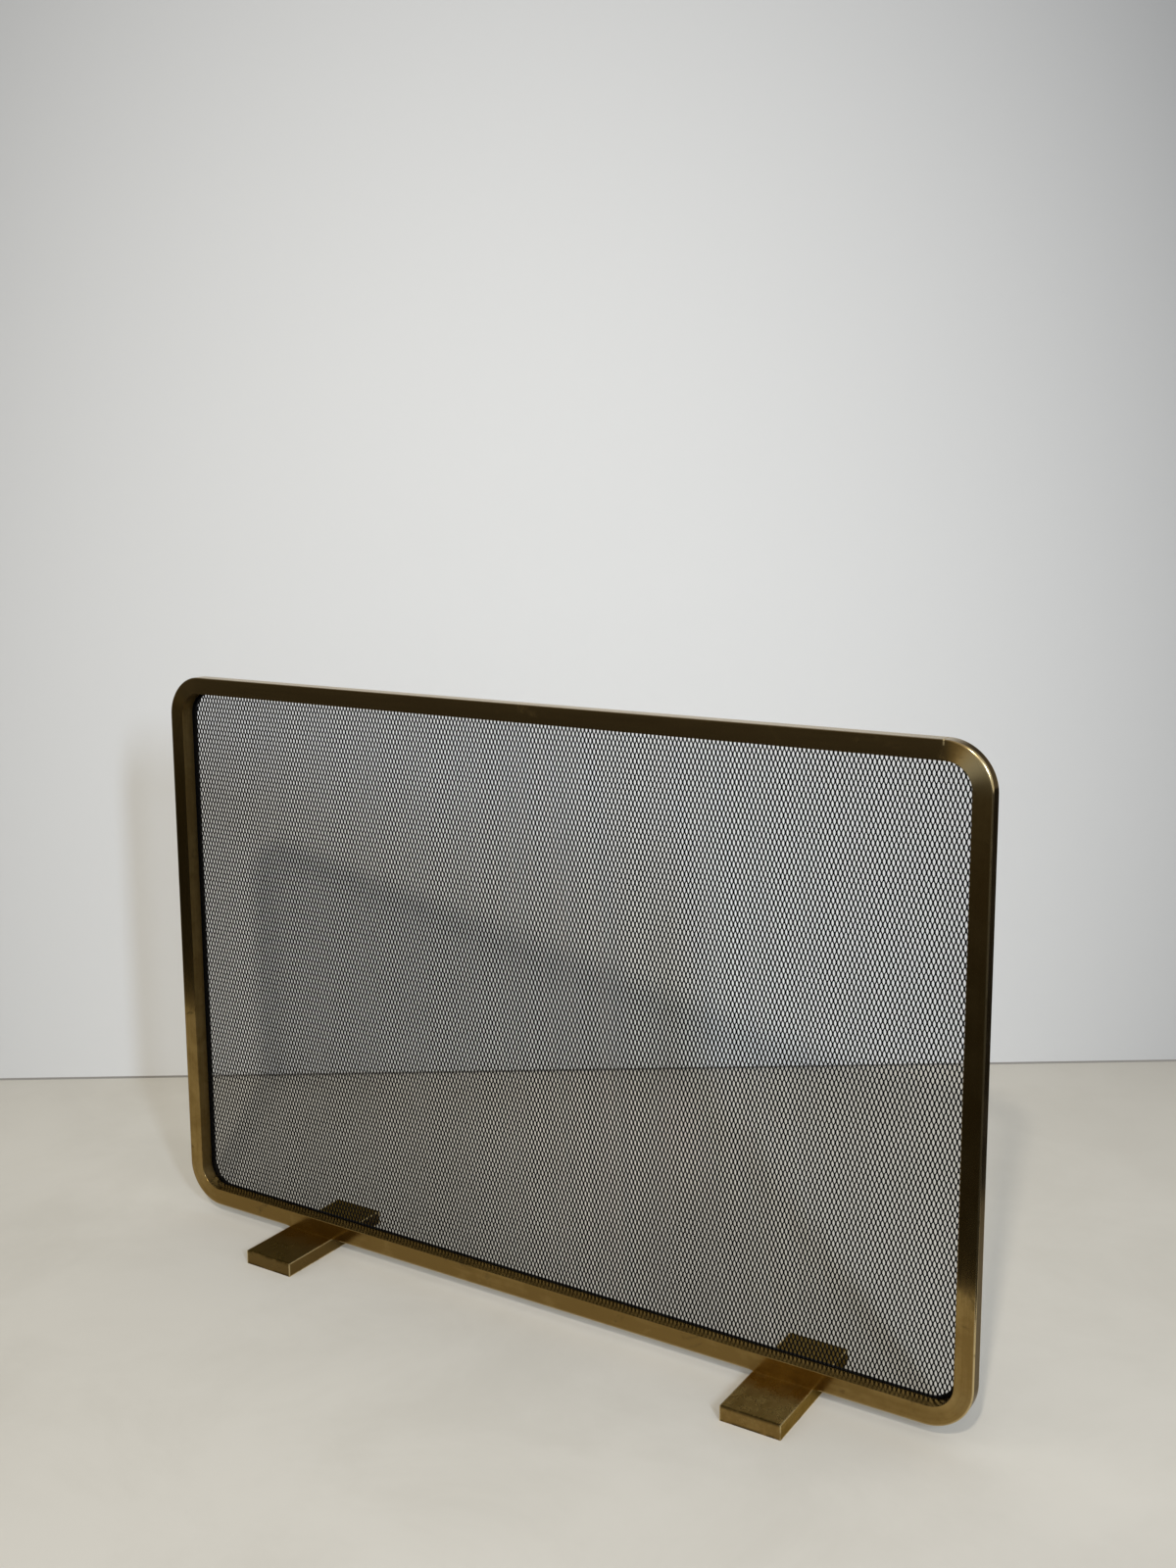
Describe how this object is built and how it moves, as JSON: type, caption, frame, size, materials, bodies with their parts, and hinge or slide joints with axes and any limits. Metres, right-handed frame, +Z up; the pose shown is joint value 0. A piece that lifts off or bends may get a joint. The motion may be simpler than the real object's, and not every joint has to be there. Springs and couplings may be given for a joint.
{
  "type": "fireplace screen",
  "caption": "Free-standing fireplace screen: black expanded-metal mesh in a round-cornered rectangular frame of brass bar, on flat brass feet.",
  "frame": {"origin": "on the floor, under the middle of the frame", "axes": "+X to the right along the screen as seen from its front, +Y from its front to its back, +Z up"},
  "size_m": [0.772, 0.12, 0.512],
  "materials": {
    "frame_brass": "aged, finely brushed brass with a soft gloss, polished on its inner faces",
    "foot_brass": "aged, finely brushed brass, mottled on top",
    "black_mesh": "satin black paint",
    "black_steel": "satin black paint",
    "screw_steel": "blackened steel",
    "screw_brass": "plain brass"
  },
  "bodies": {
    "root": {"top_rail": "frame_brass", "bottom_rail": "frame_brass", "left_stile": "frame_brass", "right_stile": "frame_brass", "corner_top_left": "frame_brass", "corner_top_right": "frame_brass", "corner_bottom_left": "frame_brass", "corner_bottom_right": "frame_brass", "mesh_panel": "black_mesh", "retainer_top": "black_steel", "retainer_bottom": "black_steel", "retainer_left": "black_steel", "retainer_right": "black_steel", "retainer_screw_top_1": "screw_steel", "retainer_screw_top_2": "screw_steel", "retainer_screw_top_3": "screw_steel", "retainer_screw_top_4": "screw_steel", "retainer_screw_top_5": "screw_steel", "retainer_screw_bottom_1": "screw_steel", "retainer_screw_bottom_2": "screw_steel", "retainer_screw_bottom_3": "screw_steel", "retainer_screw_bottom_4": "screw_steel", "retainer_screw_bottom_5": "screw_steel", "retainer_screw_left_1": "screw_steel", "retainer_screw_left_2": "screw_steel", "retainer_screw_left_3": "screw_steel", "retainer_screw_right_1": "screw_steel", "retainer_screw_right_2": "screw_steel", "retainer_screw_right_3": "screw_steel", "foot_left": "foot_brass", "foot_screw_left_1": "screw_brass", "foot_screw_left_2": "screw_brass", "foot_right": "foot_brass", "foot_screw_right_1": "screw_brass", "foot_screw_right_2": "screw_brass"}
  },
  "joints": []
}
